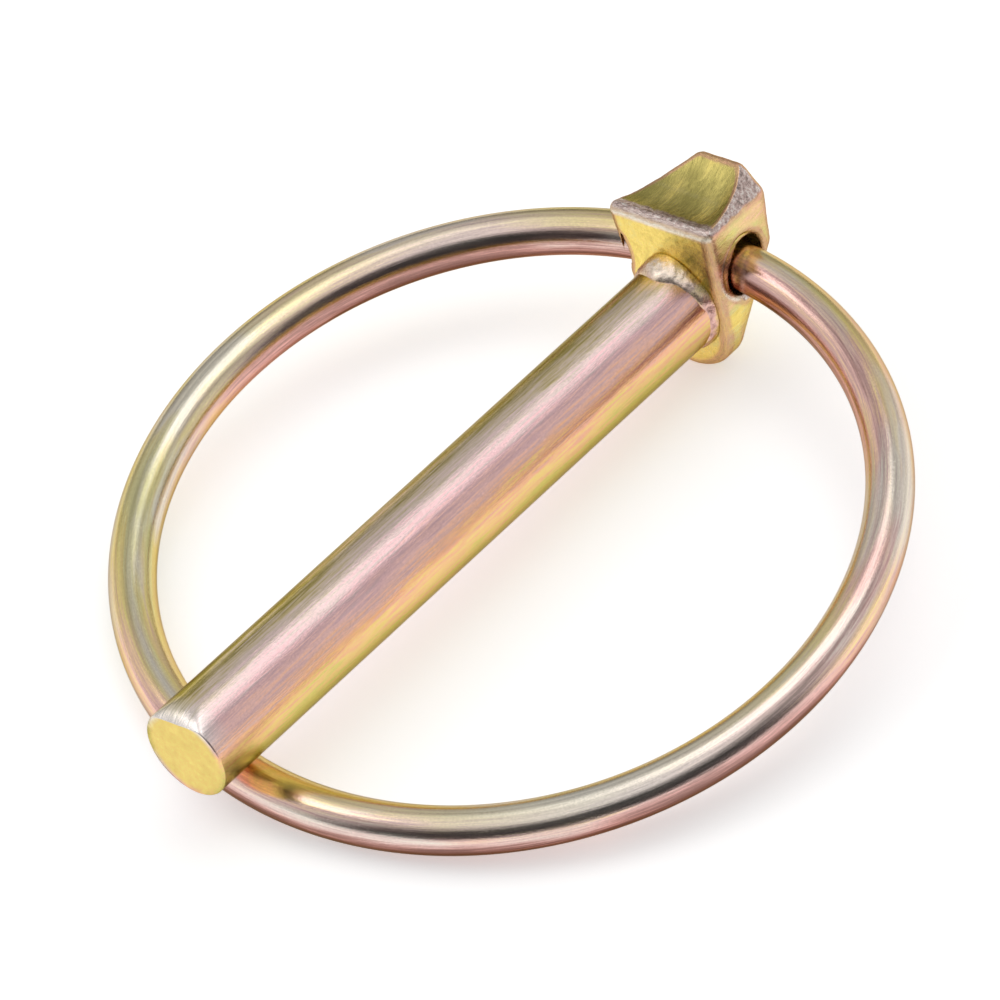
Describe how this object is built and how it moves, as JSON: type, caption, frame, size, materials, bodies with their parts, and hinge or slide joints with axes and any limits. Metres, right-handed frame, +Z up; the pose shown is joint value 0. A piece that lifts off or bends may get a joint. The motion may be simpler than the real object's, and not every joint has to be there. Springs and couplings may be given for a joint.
{
  "type": "linch pin",
  "caption": "Round steel pin with a forged head and a swinging spring wire ring that snaps shut under the tip, yellow zinc plated.",
  "frame": {"origin": "middle of the whole part's box, on the surface that the part lies on", "axes": "+X runs along the shank towards the head, +Z is up, +Y completes the right-handed frame"},
  "size_m": [0.0714, 0.066, 0.0166],
  "materials": {
    "zinc": "yellow zinc plating with a pink and green iridescence",
    "weld": "brighter plating over a weld bead",
    "wire": "smooth drawn spring wire with the same yellow zinc plating"
  },
  "bodies": {
    "pin": {"shank": "zinc", "head": "zinc", "weld_bead": "weld"},
    "ring": {"ring": "wire"}
  },
  "joints": [
    {"name": "ring_swing", "type": "hinge", "parent": "pin", "child": "ring", "pos_m": [0.0308, 0.00359, 0.0094], "axis": [0.1148, -0.9933, 0.0136], "range_deg": [0, 345]}
  ]
}
